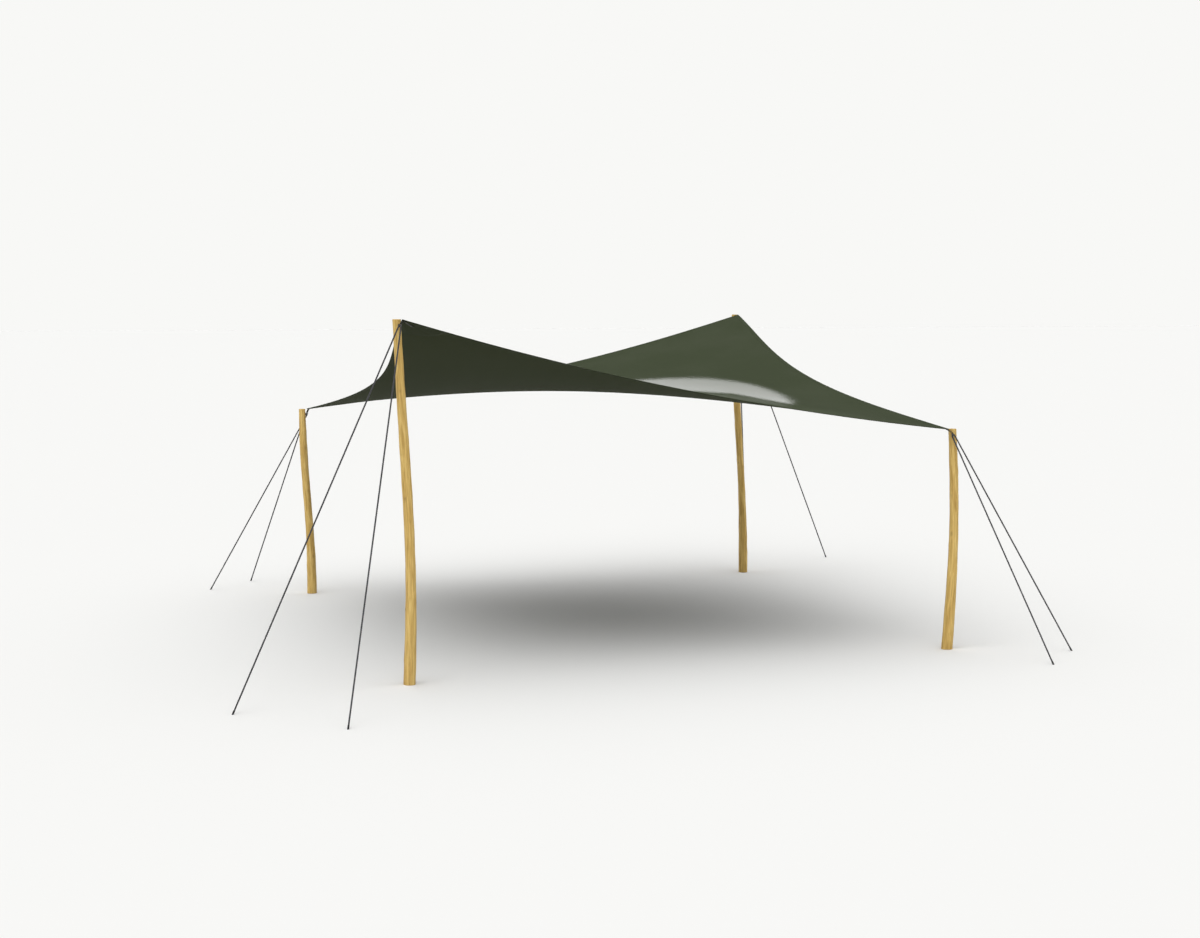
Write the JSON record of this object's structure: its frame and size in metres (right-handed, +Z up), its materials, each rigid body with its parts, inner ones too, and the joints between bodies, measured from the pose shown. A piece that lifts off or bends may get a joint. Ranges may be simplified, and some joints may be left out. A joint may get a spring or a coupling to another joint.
{
  "type": "stretch tent",
  "caption": "Square stretch tent: a saddle-shaped sheet of stretched fabric held by crooked timber poles and paired guy ropes.",
  "frame": {"origin": "on the ground, in the middle of the square of the canopy's corners", "axes": "+Z up; +Y away from the front edge; +X to the right of someone who faces the front edge, whose left corner stands high"},
  "size_m": [8.0154, 8.0155, 2.9924],
  "materials": {
    "canopy_fabric": "matt waterproof stretch fabric, dark olive green",
    "hem_fabric": "doubled and stitched stretch fabric, dark olive green",
    "patch_fabric": "second layer of stretch fabric, stitched",
    "webbing": "woven webbing",
    "eye_steel": "dark galvanised steel",
    "pole_timber": "peeled and oiled natural timber",
    "guy_rope": "braided rope, dark grey"
  },
  "bodies": {
    "root": {"canopy": "canopy_fabric", "hem_front": "hem_fabric", "hem_right": "hem_fabric", "hem_back": "hem_fabric", "hem_left": "hem_fabric", "corner_patch_front_left": "patch_fabric", "corner_patch_front_right": "patch_fabric", "corner_patch_back_right": "patch_fabric", "corner_patch_back_left": "patch_fabric", "corner_loop_front_left": "webbing", "corner_loop_front_right": "webbing", "corner_loop_back_right": "webbing", "corner_loop_back_left": "webbing", "head_eye_front_left": "eye_steel", "head_eye_front_right": "eye_steel", "head_eye_back_right": "eye_steel", "head_eye_back_left": "eye_steel", "pole_front_left": "pole_timber", "pole_front_right": "pole_timber", "pole_back_right": "pole_timber", "pole_back_left": "pole_timber", "guy_rope_front_left_1": "guy_rope", "guy_rope_front_left_2": "guy_rope", "guy_rope_front_right_1": "guy_rope", "guy_rope_front_right_2": "guy_rope", "guy_rope_back_right_1": "guy_rope", "guy_rope_back_right_2": "guy_rope", "guy_rope_back_left_1": "guy_rope", "guy_rope_back_left_2": "guy_rope"}
  },
  "joints": []
}
